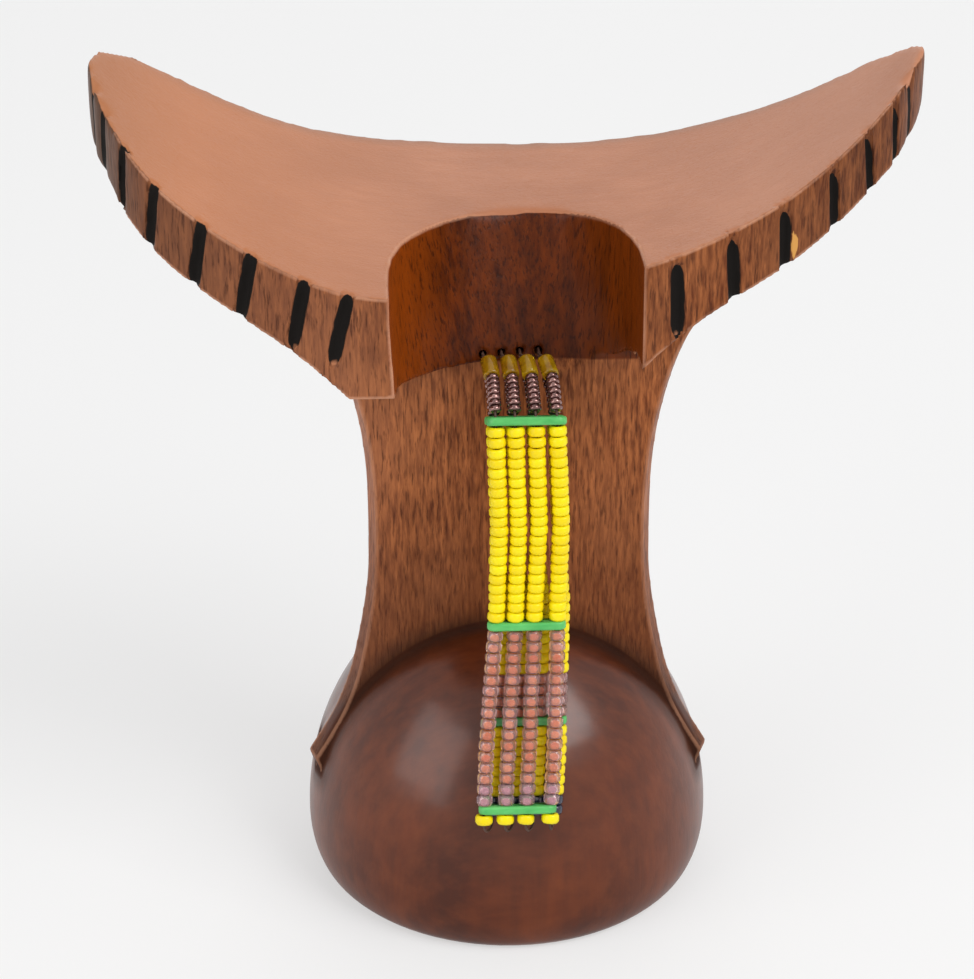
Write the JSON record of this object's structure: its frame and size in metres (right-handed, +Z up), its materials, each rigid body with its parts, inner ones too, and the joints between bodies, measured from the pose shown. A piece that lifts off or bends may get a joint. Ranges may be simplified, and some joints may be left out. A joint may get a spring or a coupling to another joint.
{
  "type": "headrest stool",
  "caption": "Carved wooden headrest stool: curved saddle seat with pointed wings and a scooped front notch, waisted column, round foot, and a hanging strap of glass beads.",
  "frame": {"origin": "on the floor, at the middle of the stool's outline seen from above", "axes": "+X along the seat from tip to tip (to the right seen from the front), the notch and the beaded strap face -Y, +Z up"},
  "size_m": [0.179, 0.0985, 0.2016],
  "materials": {
    "wood": "satin",
    "thread": "matte",
    "yellow_glass": "opaque gloss",
    "lilac_glass": "clear gloss",
    "maroon_glass": "metallic gloss",
    "amber_glass": "clear gloss",
    "navy_glass": "opaque gloss",
    "green_plastic": "gloss"
  },
  "bodies": {
    "stool": {"carved_body": "wood", "knots": "thread", "thread_ends": "thread"},
    "strap": {"thread_1": "thread", "thread_2": "thread", "thread_3": "thread", "thread_4": "thread", "front_tube_beads": "amber_glass", "front_dark_beads": "maroon_glass", "front_top_bar": "green_plastic", "front_yellow_strand_1": "yellow_glass", "front_yellow_strand_2": "yellow_glass", "front_yellow_strand_3": "yellow_glass", "front_yellow_strand_4": "yellow_glass", "front_middle_bar": "green_plastic", "front_lilac_strand_1": "lilac_glass", "front_lilac_strand_2": "lilac_glass", "front_lilac_strand_3": "lilac_glass", "front_lilac_strand_4": "lilac_glass", "bottom_bar": "green_plastic", "end_beads": "yellow_glass", "rear_end_beads": "navy_glass", "rear_low_strand_1": "yellow_glass", "rear_low_strand_2": "yellow_glass", "rear_low_strand_3": "yellow_glass", "rear_low_strand_4": "yellow_glass", "rear_low_bar": "green_plastic", "rear_lilac_beads": "lilac_glass", "rear_high_strand_1": "yellow_glass", "rear_high_strand_2": "yellow_glass", "rear_high_strand_3": "yellow_glass", "rear_high_strand_4": "yellow_glass", "rear_top_bar": "green_plastic", "rear_dark_beads": "maroon_glass"}
  },
  "joints": [
    {"name": "strap_swing", "type": "hinge", "parent": "stool", "child": "strap", "pos_m": [0, -0.0134, 0.1362], "axis": [-1, 0, 0], "range_deg": [0, 70]}
  ]
}
